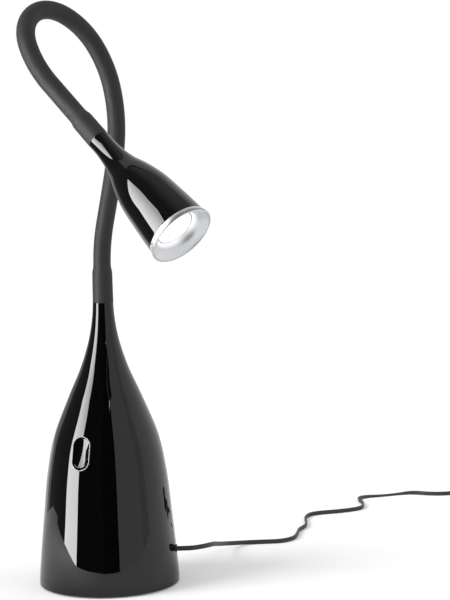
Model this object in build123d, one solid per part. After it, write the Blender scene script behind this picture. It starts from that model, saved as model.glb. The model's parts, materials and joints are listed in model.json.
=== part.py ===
from build123d import *
from math import asin, atan2, cos, degrees, hypot, pi, radians, sin, tan
import os

# Gooseneck desk lamp, in millimetres. The origin is the centre of the foot on the
# table, +Z is up, -Y is the side of the switch and -Y is also where the neck curls to.

# ---- base shell: a bell that narrows into the neck --------------------------------
# Each row is one band of the outline: the radius at its top, and its height.
foot_radius = 49.9
foot_edge_height = 1.0
foot_band = 5.0
neck_end_radius = 7.35
base_bands = [
    (48.8, 14.0), (45.8, 30.0), (42.6, 30.0), (38.0, 24.0),
    (26.4, 30.0), (16.0, 24.0), (9.7, 22.0), (neck_end_radius, 21.3),
]
base_wall = 2.5
foot_edge_fillet = 0.8
neck_plug_height = 29.0

# ---- underside: plate, pad, ballast, screws ---------------------------------------
pad_thickness = 2.0
pad_inset = 3.9
plate_thickness = 2.0
plate_clearance = 0.3
ballast_gap = 2.2
ballast_thickness = 17.0
boss_inset = 8.3
boss_radius = 3.4
boss_height = 18.0
boss_count = 3
rib_width = 2.0
plate_screw_radius = 1.5
plate_screw_length = 10.0
screw_clearance = 0.05

# ---- driver board -----------------------------------------------------------------
board_length = 44.0
board_width = 26.0
board_thickness = 1.6
board_centre_x = -10.0
pillar_height = 7.0
pillar_radius = 2.6
pillar_inset = 0.6
board_screw_radius = 1.2
board_screw_length = 7.0
terminal_block_size = (8.0, 11.0, 8.0)
inductor_radius = 4.2
inductor_height = 6.0
inductor_place = (6.0, 0.0)
capacitor_radius = 3.2
capacitor_height = 9.5
capacitor_place = (-4.0, 6.5)
driver_chip_size = (6.5, 5.0, 1.7)
driver_chip_place = (-6.0, -5.0)

# ---- cord entry -------------------------------------------------------------------
entry_azimuth = -6.0
entry_height = 24.5
cord_width = 3.5
cord_clearance = 0.05
grommet_radius = 2.7
grommet_lip = 0.5
grommet_seat = 0.4
grommet_lip_radius = 3.0
grommet_tail = 1.5
grommet_hook = 0.4
clamp_cover = 1.5
clamp_inset = 6.0
clamp_length = 19.0
clamp_width = 6.0
clamp_screw_radius = 1.2
clamp_screw_spacing = 13.0

# ---- rocker switch ----------------------------------------------------------------
switch_azimuth = -112.5
switch_height = 99.0
bezel_length = 24.5
bezel_width = 14.0
bezel_band = 1.0
bezel_proud = 0.8
bezel_depth = 1.6
rocker_gap = 0.3
rocker_pivot_depth = 4.0
rocker_dish = 0.9
rocker_lean = 6.0
rocker_thickness = 5.6
rocker_pin_radius = 0.9
rocker_pin_clearance = 0.06
switch_wall = 0.7
switch_clearance = 0.05
switch_depth = 15.0
terminal_length = 6.0

# ---- gooseneck: ten arcs, each with its bend and the direction it bends to --------
section_length = 31.5
section_bends = [
    (17, -46), (4, -98), (9, 145), (15, 159), (20, -158),
    (37, -129), (57, -118), (52, -109), (21, -79), (12, 34),
]
sleeve_radius = 6.2
core_radius = 4.7
core_bore = 1.5
sleeve_clearance = 0.1
ball_radius = 3.5
ball_clearance = 0.2
ball_neck = 2.4
ball_bore = 1.2
sleeve_gap = 0.05
cuff_radius = 7.1
collar_radius = 5.6
lower_cuff_length = 26.0
upper_cuff_length = 24.0
cuff_taper = 5.0
collar_margin = 6.0
swing_relief = 0.6
swing_relief_depth = 2.5
stem_radius = 5.0
stem_thread_length = 10.0
nut_flats = 13.0
nut_thickness = 5.0
nut_flange_thickness = 1.2
lead_radius = 1.2
lead_bend = 4.0
lead_rise = 40.0
switch_lead_place = (-16.0, -2.0)
switch_lead_spacing = 6.0
switch_lead_drop = 18.0
neck_lead_place = (12.0, 8.0)
neck_lead_drop = 30.0
neck_lead_bend = 12.0
inner_cord_lead = 6.0
inner_cord_bend = 3.0

# ---- head: a bell around the light ------------------------------------------------
# Each row is one band of the outline: the radius at its end, and its length.
head_neck_radius = 7.2
head_mouth_radius = 20.6
head_bands = [
    (7.65, 14.0), (9.95, 12.0), (13.9, 11.6), (16.8, 11.4), (18.9, 17.0), (head_mouth_radius, 21.2),
]
head_wall = 2.0
head_plug_length = 30.0
ring_length = 4.3
ring_lip_radius = 21.65
ring_spigot_radius = 18.4
ring_spigot_length = 8.2
ring_bowl_radius = 15.0
ring_bowl_depth = 5.0
ring_band_radius = 20.9
ring_fit = 0.1
lens_radius = 13.5
lens_sight_radius = 13.0
lens_thickness = 2.5
lens_setback = 8.0
lens_skirt_wall = 1.3
sink_flange_thickness = 2.0
sink_radius = 15.2
sink_length = 20.5
sink_pocket_radius = 13.0
sink_pocket_depth = 6.5
sink_slot_width = 1.6
sink_slot_length = 10.0
sink_slot_count = 12
sink_hub_radius = 9.0
led_board_radius = 12.6
led_board_thickness = 1.6
led_size = 7.0
led_thickness = 1.2
led_screw_radius = 1.2
led_screw_circle = 9.6
led_screw_length = 5.0

# ---- cord, its coil and the plug-in adapter ---------------------------------------
floor_clearance = 0.05
cord_exit_run = 9.0
cord_route = [
    (65.8, -2.9, 24.4), (71.3, 3.7, 23.6), (74.9, 18.3, 21.1), (77.1, 40.0, 16.6),
    (79.4, 62.5, 11.8), (82.4, 84.0, 7.1), (87.3, 101.5, 3.4), (98.0, 113.5, 1.8),
    (114.0, 115.5, 1.8), (127.0, 119.0, 1.8), (136.5, 132.0, 1.8), (142.0, 155.0, 1.8),
    (148.0, 182.0, 1.8), (153.0, 206.0, 1.8), (163.0, 224.0, 1.8), (180.0, 232.5, 1.8),
    (193.0, 241.0, 1.8), (201.5, 256.0, 1.8), (204.5, 277.0, 1.8), (212.0, 293.0, 1.8),
    (227.0, 302.5, 1.8), (245.0, 310.0, 1.8), (264.0, 307.0, 1.8), (284.0, 303.5, 1.8),
    (301.0, 312.0, 2.2), (314.0, 321.5, 2.8),
]
coil_centre = (325.0, 301.0)
coil_mean_radius = 20.0
coil_band_width = 10.0
coil_band_height = 7.4
coil_corner = 1.5
tie_azimuth = -30.0
tie_clearance = 0.1
tie_width = 7.0
tie_thickness = 0.8
tail_route = [
    (332.0, 323.5, 5.8), (343.0, 319.5, 6.6), (353.5, 313.0, 8.0), (363.5, 311.0, 9.0),
]
adapter_length = 60.0
adapter_width = 38.0
adapter_height = 27.0
adapter_corner = 5.0
adapter_edge = 2.0
adapter_wall = 2.2
adapter_split = 15.0
adapter_start = (387.0, 311.0)
adapter_cord_height = 9.0
relief_length = 12.0
relief_root_radius = 3.2
pin_radius = 2.0
pin_length = 19.0
pin_spacing = 18.6
pin_offset = 13.0

os.makedirs("parts", exist_ok=True)
node_count = 0


def save(name, *solids):
    """Write one named piece, or a group of like pieces, as parts/NAME.step."""
    global node_count
    group = Compound([solid for piece in solids for solid in piece.solids()])
    export_step(group, f"parts/{name}.step")
    node_count += 1


def ring(outer, inner, bottom, top):
    """A plain tube about Z between two heights."""
    height = top - bottom
    tube = Cylinder(outer, height, align=(Align.CENTER, Align.CENTER, Align.MIN))
    if inner > 0:
        tube -= Cylinder(inner, height, align=(Align.CENTER, Align.CENTER, Align.MIN))
    return Pos(0, 0, bottom) * tube


def turned(*edges):
    """The solid turned about Z from a closed outline in the XZ plane."""
    return revolve(make_face(list(edges)), Axis.Z)


def swept_wire(points, bend_radius, wire_radius):
    """A round wire along straight runs with rounded corners."""
    path = FilletPolyline(*points, radius=bend_radius)
    section = Plane(origin=path @ 0, z_dir=path % 0) * Circle(wire_radius)
    return sweep(section, path=path)


# ---- smooth outlines --------------------------------------------------------------
def outline_rows(start_radius, start_height, bands):
    """The outline's points, as (radius, height), from its bands."""
    rows = [(start_radius, start_height)]
    for radius, height in bands:
        rows.append((radius, rows[-1][1] + height))
    return rows


def outline_leans(rows):
    """How far the outline leans inwards at each point, in degrees, from its neighbours."""
    leans, lengths = [], []
    for (radius_low, low), (radius_high, high) in zip(rows, rows[1:]):
        leans.append(degrees(atan2(radius_low - radius_high, high - low)))
        lengths.append(hypot(radius_low - radius_high, high - low))
    inner = [
        (leans[i] * lengths[i + 1] + leans[i + 1] * lengths[i]) / (lengths[i] + lengths[i + 1])
        for i in range(len(leans) - 1)
    ]
    return [2 * leans[0] - inner[0], *inner, 2 * leans[-1] - inner[-1]]


def smooth_outline(rows, inset=0.0):
    """A smooth curve in the XZ plane through the rows, moved inwards by inset."""
    points, tangents = [], []
    for (radius, height), lean in zip(rows, outline_leans(rows)):
        inward, along = cos(radians(lean)), sin(radians(lean))
        points.append((radius - inset * inward, 0, height - inset * along))
        tangents.append((-along, 0, inward))
    return Spline(*points, tangents=tangents)


base_rows = outline_rows(foot_radius, foot_edge_height + foot_band, base_bands)
head_rows = outline_rows(head_neck_radius, 0, head_bands)
body_height = base_rows[-1][1]
head_length = head_rows[-1][1]


def surface_at(height):
    """The base's outer radius and its lean at a height, read from its outline."""
    outline = smooth_outline(base_rows)
    low, high = 0.0, 1.0
    for _ in range(30):
        middle = (low + high) / 2
        if (outline @ middle).Z < height:
            low = middle
        else:
            high = middle
    return (outline @ low).X, degrees(asin(-(outline % low).X))


# ---- neck frames ------------------------------------------------------------------
def bend_plane(frame, direction):
    """The frame turned about its own axis so that +X is the way the section bends."""
    toward = frame.x_dir * cos(radians(direction)) + frame.y_dir * sin(radians(direction))
    return Plane(origin=frame.origin, x_dir=toward, z_dir=frame.z_dir)


def next_frame(frame, bend, direction):
    """The frame at the far end of a section, carried along its arc without twisting."""
    local = bend_plane(frame, direction)
    radius = section_length / radians(bend)
    hinge = Axis(origin=(0, 0, 0), direction=local.y_dir)
    centre = frame.origin + local.x_dir * radius
    origin = centre + (frame.origin - centre).rotate(hinge, bend)
    x_dir = frame.x_dir.rotate(hinge, bend)
    z_dir = frame.z_dir.rotate(hinge, bend)
    return Plane(origin=origin, x_dir=x_dir, z_dir=z_dir)


def neck_frames():
    """The pivots of the neck: one at each end of every section."""
    frames = [Plane(origin=(0, 0, body_height + lower_cuff_length), x_dir=(1, 0, 0), z_dir=(0, 0, 1))]
    for bend, direction in section_bends:
        frames.append(next_frame(frames[-1], bend, direction))
    return frames


def joint_axis(number, frame):
    """Which way a pivot turns: the neck bends sideways and fore and aft by turns."""
    return [frame.y_dir, frame.x_dir, frame.y_dir * -1, frame.x_dir * -1][(number - 1) % 4]


frames = neck_frames()
head_frame = Plane(
    origin=frames[-1].origin + frames[-1].z_dir * upper_cuff_length,
    x_dir=frames[-1].x_dir,
    z_dir=frames[-1].z_dir,
)


# ---- base -------------------------------------------------------------------------
pad_radius = foot_radius - pad_inset
boss_circle = foot_radius - boss_inset
ballast_radius = boss_circle - boss_radius - ballast_gap
clamp_distance = ballast_radius - clamp_inset
plate_bottom = pad_thickness
plate_top = plate_bottom + plate_thickness
ballast_top = plate_top + ballast_thickness
board_bottom = ballast_top + pillar_height
board_top = board_bottom + board_thickness
plug_bottom = body_height - neck_plug_height
entry_radius, entry_lean = surface_at(entry_height)
switch_radius, switch_lean = surface_at(switch_height)
entry_plane = Plane(
    origin=(0, 0, entry_height),
    x_dir=(0, 0, 1),
    z_dir=(cos(radians(entry_azimuth)), sin(radians(entry_azimuth)), 0),
)
switch_out = Vector(cos(radians(switch_azimuth)), sin(radians(switch_azimuth)), 0)
switch_side = Vector(-switch_out.Y, switch_out.X, 0)
switch_plane = Plane(
    origin=switch_out * switch_radius + Vector(0, 0, switch_height),
    x_dir=switch_side,
    z_dir=switch_out * cos(radians(switch_lean)) + Vector(0, 0, sin(radians(switch_lean))),
)
opening_length = bezel_length - 2 * bezel_band
opening_width = bezel_width - 2 * bezel_band
barrel_length = opening_length + 2 * switch_wall
barrel_width = opening_width + 2 * switch_wall


def shell_bosses():
    """The screw posts under the shell, each tied to the wall by a rib."""
    bosses = []
    for number in range(boss_count):
        azimuth = 90 + 360 / boss_count * number
        post = Pos(boss_circle, 0, 0) * ring(boss_radius, 0, plate_top, plate_top + boss_height)
        reach = foot_radius - base_wall / 2 - boss_circle - 1
        rib = Pos(boss_circle, 0, plate_top) * Box(
            reach, rib_width, boss_height, align=(Align.MIN, Align.CENTER, Align.MIN)
        )
        hole = Pos(boss_circle, 0, 0) * ring(
            plate_screw_radius + screw_clearance, 0, plate_top - 1, plate_bottom + plate_screw_length + 1
        )
        bosses.append((Rot(0, 0, azimuth) * (post + rib), Rot(0, 0, azimuth) * hole))
    return bosses


def base_shell():
    """The gloss shell: hollow below, with a solid plug at the top that the neck screws into."""
    skirt_start = base_rows[0][1]
    outer = turned(
        smooth_outline(base_rows),
        Line((foot_radius, 0, skirt_start), (foot_radius, 0, foot_edge_height)),
        Line((foot_radius, 0, foot_edge_height), (0, 0, foot_edge_height)),
        Line((0, 0, foot_edge_height), (0, 0, body_height)),
        Line((0, 0, body_height), (neck_end_radius, 0, body_height)),
    )
    inner_curve = smooth_outline(base_rows, base_wall)
    start, end = inner_curve @ 0, inner_curve @ 1
    hollow = turned(
        inner_curve,
        Line((start.X, 0, start.Z), (start.X, 0, foot_edge_height - 1)),
        Line((start.X, 0, foot_edge_height - 1), (0, 0, foot_edge_height - 1)),
        Line((0, 0, foot_edge_height - 1), (0, 0, end.Z)),
        Line((0, 0, end.Z), (end.X, 0, end.Z)),
    )
    hollow -= ring(foot_radius, 0, plug_bottom, body_height + 1)
    bore = ring(stem_radius + screw_clearance, 0, plug_bottom - 1, body_height + 1)
    shell = outer - hollow - bore
    for post, hole in shell_bosses():
        shell = shell + post - hole
    entry_start, entry_end = entry_radius - 2 * base_wall, entry_radius + 2 * base_wall
    shell -= entry_plane * ring(grommet_radius + cord_clearance, 0, entry_start, entry_end)
    shell -= entry_plane * ring(
        grommet_lip_radius + cord_clearance, 0, entry_radius - grommet_seat, entry_end
    )
    shell -= switch_plane * extrude(
        SlotOverall(barrel_length + 2 * switch_clearance, barrel_width + 2 * switch_clearance, rotation=90),
        switch_depth / 2,
        both=True,
    )
    edges = shell.edges().filter_by(GeomType.CIRCLE).group_by(Axis.Z)[0].sort_by(SortBy.RADIUS)
    return fillet(edges[-1], min(foot_edge_fillet, base_wall / 3))


def base_plate():
    """The steel bottom plate with a countersunk hole at each screw post."""
    plate = ring(foot_radius - base_wall - plate_clearance, 0, plate_bottom, plate_top)
    for number in range(boss_count):
        place = Rot(0, 0, 90 + 360 / boss_count * number) * Pos(boss_circle, 0, plate_bottom)
        plate -= place * screw_space(plate_screw_radius, plate_screw_length)
    return plate


def countersunk_screw(radius, length):
    """A countersunk screw pointing up, its flat head at z = 0, with a cross recess."""
    head_radius = 1.9 * radius
    head = Cone(head_radius, radius, head_radius - radius, align=(Align.CENTER, Align.CENTER, Align.MIN))
    screw = head + ring(radius, 0, 0, length)
    for turn in (0, 90):
        screw -= Rot(0, 0, turn) * Box(1.3 * radius, 0.35 * radius, 1.2 * radius)
    return screw


def screw_space(radius, length):
    """The hole that a countersunk screw needs."""
    head_radius = 1.9 * radius + screw_clearance
    head = Cone(
        head_radius + screw_clearance, radius + screw_clearance, head_radius - radius + screw_clearance,
        align=(Align.CENTER, Align.CENTER, Align.MIN),
    )
    return head + ring(radius + screw_clearance, 0, 0, length + 1)


def pan_screw(radius, length):
    """A pan-head screw pointing down, with the underside of its head at z = 0."""
    head_height = 1.1 * radius
    screw = ring(1.9 * radius, 0, 0, head_height) + ring(radius, 0, -length, 0)
    for turn in (0, 90):
        screw -= Pos(0, 0, head_height) * Rot(0, 0, turn) * Box(2 * radius, 0.35 * radius, head_height)
    return screw


def plate_screws():
    places = [Rot(0, 0, 90 + 360 / boss_count * n) * Pos(boss_circle, 0, plate_bottom) for n in range(boss_count)]
    return [place * countersunk_screw(plate_screw_radius, plate_screw_length) for place in places]


def board_corners():
    """Where the board's four screws stand."""
    inset = pillar_radius + pillar_inset
    dx, dy = board_length / 2 - inset, board_width / 2 - inset
    return [(board_centre_x + sx * dx, sy * dy) for sx in (-1, 1) for sy in (-1, 1)]


clamp_places = [(clamp_distance, side * clamp_screw_spacing / 2) for side in (-1, 1)]
entry_turn = Rot(0, 0, entry_azimuth)
clamp_top = entry_height + cord_width / 2 + clamp_cover


def ballast_weight():
    """The cast weight on the plate, with a pillar under each corner of the board."""
    weight = ring(ballast_radius, 0, plate_top, ballast_top)
    for x, y in board_corners():
        weight += Pos(x, y, 0) * ring(pillar_radius, 0, ballast_top, board_bottom)
        depth = board_top - board_screw_length - 1
        weight -= Pos(x, y, 0) * ring(board_screw_radius + screw_clearance, 0, depth, board_bottom + 1)
    for x, y in clamp_places:
        depth = ballast_top - 5
        weight -= entry_turn * Pos(x, y, 0) * ring(clamp_screw_radius + screw_clearance, 0, depth, ballast_top + 1)
    return weight


def driver_board():
    board = Pos(board_centre_x, 0, board_bottom) * Box(
        board_length, board_width, board_thickness, align=(Align.CENTER, Align.CENTER, Align.MIN)
    )
    for x, y in board_corners():
        hole = ring(board_screw_radius + screw_clearance, 0, board_bottom - 1, board_top + 1)
        board -= Pos(x, y, 0) * hole
    return board


terminal_block_x = board_centre_x + board_length / 2 - terminal_block_size[0] / 2


def board_place(place):
    """A spot on top of the driver board, counted from its middle."""
    return Pos(board_centre_x + place[0], place[1], board_top)


def board_parts():
    """What stands on the driver board: terminal block, coil, capacitor and chip."""
    on_board = (Align.CENTER, Align.CENTER, Align.MIN)
    return [
        Pos(terminal_block_x, 0, board_top) * Box(*terminal_block_size, align=on_board),
        board_place(inductor_place) * Cylinder(inductor_radius, inductor_height, align=on_board),
        board_place(capacitor_place) * Cylinder(capacitor_radius, capacitor_height, align=on_board),
        board_place(driver_chip_place) * Box(*driver_chip_size, align=on_board),
    ]


def board_screws():
    return [Pos(x, y, board_top) * pan_screw(board_screw_radius, board_screw_length) for x, y in board_corners()]


def cable_grommet():
    """The small bush that lines the cord's hole, with a thin lip outside."""
    barrel_start = entry_radius - base_wall - grommet_tail
    face = entry_radius + grommet_lip
    bush = ring(grommet_radius, 0, barrel_start, face)
    bush += ring(grommet_lip_radius, 0, entry_radius - grommet_seat, face)
    bush += ring(grommet_lip_radius + grommet_hook, 0, barrel_start - 1, barrel_start)
    bush -= ring(cord_width / 2 + cord_clearance, 0, barrel_start - 2, face + 1)
    return entry_plane * bush


def cord_clamp():
    """The bar over the cord, screwed to the weight."""
    bar = Pos(clamp_distance, 0, ballast_top) * Box(
        clamp_width, clamp_length, clamp_top - ballast_top, align=(Align.CENTER, Align.CENTER, Align.MIN)
    )
    bar -= Pos(clamp_distance, 0, entry_height) * Rot(0, 90, 0) * Cylinder(
        cord_width / 2 + cord_clearance, clamp_width + 2
    )
    for x, y in clamp_places:
        bar -= Pos(x, y, 0) * ring(clamp_screw_radius + screw_clearance, 0, ballast_top - 1, clamp_top + 1)
    return entry_turn * bar


def clamp_screws():
    length = clamp_top - ballast_top + 4
    return [entry_turn * Pos(x, y, clamp_top) * pan_screw(clamp_screw_radius, length) for x, y in clamp_places]


def foot_pad():
    return ring(pad_radius, 0, 0, pad_thickness)


# ---- rocker switch ----------------------------------------------------------------
def switch_bezel():
    """The bright oval ring around the rocker, let into the shell."""
    outer = extrude(SlotOverall(bezel_length, bezel_width, rotation=90), bezel_proud + bezel_depth)
    inner = extrude(SlotOverall(opening_length, opening_width, rotation=90), bezel_proud + bezel_depth)
    bezel = Pos(0, 0, -bezel_depth) * (outer - inner)
    rim = bezel.edges().group_by(Axis.Z)[-1]
    return switch_plane * fillet(rim, bezel_band * 0.35)


def bezel_seat():
    """The shallow step in the shell that takes the bezel."""
    outline = SlotOverall(bezel_length + 2 * switch_clearance, bezel_width + 2 * switch_clearance, rotation=90)
    seat = extrude(outline, bezel_proud + bezel_depth)
    return switch_plane * Pos(0, 0, -bezel_depth) * seat


rocker_length = opening_length - 4 * rocker_gap
rocker_width = opening_width - 2 * rocker_gap
rocker_pivot = switch_plane * Pos(0, 0, -rocker_pivot_depth)


def switch_rocker():
    """The dished oval rocker with a pivot pin at each side, leaning as it does when it is on."""
    body = Pos(0, 0, rocker_pivot_depth - rocker_thickness) * extrude(
        SlotOverall(rocker_length, rocker_width, rotation=90), rocker_thickness
    )
    dish_radius = ((rocker_length / 2) ** 2 + rocker_dish**2) / (2 * rocker_dish)
    dish_centre = rocker_pivot_depth - rocker_dish + dish_radius
    body -= Pos(0, 0, dish_centre) * Rot(0, 90, 0) * Cylinder(dish_radius, rocker_width + 2)
    swing = Rot(0, 90, 0) * Cylinder(opening_length / 2 - rocker_gap / 2, rocker_width + 2)
    body &= swing
    pins = Rot(0, 90, 0) * Cylinder(rocker_pin_radius, barrel_width - 0.2)
    return rocker_pivot * Rot(-rocker_lean, 0, 0) * (body + pins)


def switch_body():
    """The housing behind the shell, open to the rocker."""
    top = -bezel_depth
    housing = Pos(0, 0, top - switch_depth) * extrude(
        SlotOverall(barrel_length, barrel_width, rotation=90), switch_depth
    )
    room = rocker_pivot_depth + rocker_thickness
    cavity = Pos(0, 0, -room) * extrude(
        SlotOverall(barrel_length - 2 * switch_wall, barrel_width - 2 * switch_wall, rotation=90), room
    )
    pin_hole = Pos(0, 0, -rocker_pivot_depth) * Rot(0, 90, 0) * Cylinder(
        rocker_pin_radius + rocker_pin_clearance, barrel_width + 2
    )
    return switch_plane * (housing - cavity - pin_hole)


def switch_terminals():
    """Two flat blades behind the housing."""
    back = -bezel_depth - switch_depth
    blade = Box(4.8, 0.8, terminal_length, align=(Align.CENTER, Align.CENTER, Align.MAX))
    return [switch_plane * Pos(0, side * barrel_length / 4, back) * blade for side in (-1, 1)]


# ---- neck -------------------------------------------------------------------------
def bent_tube(outer, inner, bend, start_gap, end_gap):
    """A ring drawn along part of one section's arc, which starts up Z and bends to +X."""
    radius = section_length / radians(bend)
    hinge = Axis(origin=(radius, 0, 0), direction=(0, 1, 0))
    start = degrees(start_gap / radius)
    end = degrees(end_gap / radius)
    profile = Circle(outer)
    if inner > 0:
        profile -= Circle(inner)
    return revolve(profile.rotate(hinge, start), hinge, bend - start - end)


def arc_end(bend):
    """Where a section's arc ends, in the section's own frame."""
    radius = section_length / radians(bend)
    return Pos(radius * (1 - cos(radians(bend))), 0, radius * sin(radians(bend))) * Rot(0, bend, 0)


def bored_ball():
    """The ball that a neck section turns on, bored for the lead, about its own centre."""
    return Sphere(ball_radius) - Cylinder(ball_bore, 3 * ball_radius)


def neck_core(bend):
    """One rigid length of the wound steel core: a cup at its start, a ball at its end."""
    cup = Sphere(ball_radius + ball_clearance)
    return bent_tube(core_radius, core_bore, bend, 0, ball_neck) - cup + arc_end(bend) * bored_ball()


def neck_sleeve(bend):
    """One length of the rubber sleeve around the core."""
    return bent_tube(sleeve_radius, core_radius + sleeve_clearance, bend, sleeve_gap, sleeve_gap)


def stem_nut():
    """A flanged hexagon nut on the neck's threaded stem, its flange at z = 0, body below."""
    hexagon = RegularPolygon(nut_flats / 2, 6, major_radius=False)
    nut = Pos(0, 0, -nut_thickness) * extrude(hexagon, nut_thickness)
    nut += ring(nut_flats / 2 + 0.6, 0, -nut_flange_thickness, 0)
    return nut - ring(stem_radius + screw_clearance, 0, -nut_thickness - 1, 1)


lower_stem_end = plug_bottom - stem_thread_length


def lower_ferrule():
    """The steel end of the neck: threaded stem, collar under the cuff, and the first ball."""
    pivot = body_height + lower_cuff_length
    body = ring(stem_radius, 0, lower_stem_end, body_height)
    body += ring(collar_radius, 0, body_height, pivot - collar_margin)
    body += ring(core_radius, 0, pivot - collar_margin, pivot - ball_neck)
    body -= ring(core_bore, 0, lower_stem_end - 1, pivot)
    return body + Pos(0, 0, pivot) * bored_ball()


def cuff(root_radius, length):
    """The thick end of the sleeve, from its root at z = 0 to the first pivot."""
    straight = length - cuff_taper
    profile = [
        Line((root_radius, 0, 0), (cuff_radius, 0, straight)),
        Spline(
            (cuff_radius, 0, straight), (sleeve_radius, 0, length - sleeve_gap),
            tangents=[(0, 0, 1), (0, 0, 1)],
        ),
        Line((sleeve_radius, 0, length - sleeve_gap), (0, 0, length - sleeve_gap)),
        Line((0, 0, length - sleeve_gap), (0, 0, 0)),
        Line((0, 0, 0), (root_radius, 0, 0)),
    ]
    body = turned(*profile)
    collar_end = length - collar_margin + sleeve_clearance
    body -= ring(collar_radius + sleeve_clearance, 0, -1, collar_end)
    body -= ring(core_radius + sleeve_clearance, 0, collar_end - 1, length + 1)
    relief = core_radius + sleeve_clearance + swing_relief
    return body - ring(relief, 0, length - swing_relief_depth, length + 1)


def lower_cuff():
    return Pos(0, 0, body_height) * cuff(neck_end_radius, lower_cuff_length)


def upper_cuff():
    return head_frame * Rot(180, 0, 0) * cuff(head_neck_radius, upper_cuff_length)


# ---- head -------------------------------------------------------------------------
mouth_face = head_length
ring_front = head_length + ring_length
lens_front = ring_front - lens_setback
lens_back = lens_front - lens_thickness
spigot_end = mouth_face - ring_spigot_length
pocket_floor = spigot_end - sink_pocket_depth
led_board_front = pocket_floor + led_board_thickness
upper_stem_end = head_plug_length + stem_thread_length
facing_mouth = Rot(180, 0, 0)


def head_shell():
    """The gloss shell of the head, solid around the stem and stepped inside its mouth."""
    outer = turned(
        smooth_outline(head_rows),
        Line((head_mouth_radius, 0, head_length), (0, 0, head_length)),
        Line((0, 0, head_length), (0, 0, 0)),
        Line((0, 0, 0), (head_neck_radius, 0, 0)),
    )
    inner_curve = smooth_outline(head_rows, head_wall)
    start, end = inner_curve @ 0, inner_curve @ 1
    hollow = turned(
        inner_curve,
        Line((end.X, 0, end.Z), (end.X, 0, head_length + head_wall)),
        Line((end.X, 0, head_length + head_wall), (0, 0, head_length + head_wall)),
        Line((0, 0, head_length + head_wall), (0, 0, start.Z)),
        Line((0, 0, start.Z), (start.X, 0, start.Z)),
    )
    hollow -= ring(head_mouth_radius, 0, -head_wall, head_plug_length)
    step = ring(ring_spigot_radius + ring_fit, 0, spigot_end - sink_flange_thickness, head_length + 1)
    bore = ring(stem_radius + screw_clearance, 0, -1, head_plug_length + 1)
    return head_frame * (outer - hollow - step - bore)


def upper_ferrule():
    """The head's steel stem: the last cup, the collar under the cuff, and the thread."""
    body = ring(core_radius, 0, -upper_cuff_length, collar_margin - upper_cuff_length)
    body += ring(collar_radius, 0, collar_margin - upper_cuff_length, 0)
    body += ring(stem_radius, 0, 0, upper_stem_end)
    body -= Pos(0, 0, -upper_cuff_length) * Sphere(ball_radius + ball_clearance)
    return head_frame * (body - ring(core_bore, 0, -upper_cuff_length - 1, upper_stem_end + 1))


def upper_nut():
    return head_frame * Pos(0, 0, head_plug_length) * facing_mouth * stem_nut()


def reflector_ring():
    """The bright ring in the mouth: spigot, rounded lip, polished bowl and lens seat."""
    lip = ring_lip_radius
    lip_inner = lip - 1.1
    bowl_bottom = ring_front - ring_bowl_depth
    profile = [
        Line((ring_spigot_radius, 0, spigot_end), (ring_spigot_radius, 0, mouth_face)),
        Line((ring_spigot_radius, 0, mouth_face), (ring_band_radius, 0, mouth_face)),
        Line((ring_band_radius, 0, mouth_face), (lip, 0, ring_front - 0.8)),
        ThreePointArc(
            (lip, 0, ring_front - 0.8), (lip - 0.35, 0, ring_front - 0.1), (lip_inner, 0, ring_front - 0.25)
        ),
        Spline(
            (lip_inner, 0, ring_front - 0.25), (ring_bowl_radius, 0, bowl_bottom),
            tangents=[(-0.25, 0, -1), (-1, 0, -0.12)],
        ),
        Line((ring_bowl_radius, 0, bowl_bottom), (lens_sight_radius, 0, lens_front)),
        Line((lens_sight_radius, 0, lens_front), (lens_radius + ring_fit, 0, lens_front)),
        Line((lens_radius + ring_fit, 0, lens_front), (lens_radius + ring_fit, 0, spigot_end)),
        Line((lens_radius + ring_fit, 0, spigot_end), (ring_spigot_radius, 0, spigot_end)),
    ]
    return head_frame * turned(*profile)


def lens():
    """The frosted lens with the short skirt that holds it against the ring."""
    disc = ring(lens_radius, 0, lens_back, lens_front)
    skirt = ring(lens_radius, lens_radius - lens_skirt_wall, spigot_end + ring_fit, lens_back)
    return head_frame * (disc + skirt)


def heat_sink():
    """The aluminium plug behind the light: a flange, a finned back and a pocket."""
    flange_back = spigot_end - sink_flange_thickness
    back = spigot_end - sink_length
    body = ring(sink_radius, 0, back, spigot_end)
    body += ring(ring_spigot_radius - ring_fit, 0, flange_back, spigot_end)
    body -= ring(sink_pocket_radius, 0, pocket_floor, spigot_end + 1)
    for number in range(sink_slot_count):
        slot = Pos(sink_hub_radius, 0, back) * Box(
            sink_radius, sink_slot_width, sink_slot_length, align=(Align.MIN, Align.CENTER, Align.MIN)
        )
        body -= Rot(0, 0, 360 / sink_slot_count * number) * slot
    body -= ring(core_bore, 0, back - 1, pocket_floor + 1)
    for x in (-led_screw_circle, led_screw_circle):
        depth = led_board_front - led_screw_length - 1
        body -= Pos(x, 0, 0) * ring(led_screw_radius + screw_clearance, 0, depth, pocket_floor + 1)
    return head_frame * body


def led_board():
    board = ring(led_board_radius, 0, pocket_floor, led_board_front)
    for x in (-led_screw_circle, led_screw_circle):
        hole = ring(led_screw_radius + screw_clearance, 0, pocket_floor - 1, led_board_front + 1)
        board -= Pos(x, 0, 0) * hole
    return head_frame * board


def led_chip():
    """The light itself: a square package with a low round dome."""
    chip = Pos(0, 0, led_board_front) * Box(
        led_size, led_size, led_thickness, align=(Align.CENTER, Align.CENTER, Align.MIN)
    )
    dome_radius = led_size * 0.42
    dome = Pos(0, 0, led_board_front + led_thickness) * Sphere(dome_radius)
    dome &= ring(led_size, 0, led_board_front + led_thickness - 0.2, led_board_front + 2 * led_thickness)
    return head_frame * (chip + dome)


def led_screws():
    return [
        head_frame * Pos(x, 0, led_board_front) * pan_screw(led_screw_radius, led_screw_length)
        for x in (-led_screw_circle, led_screw_circle)
    ]


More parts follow.
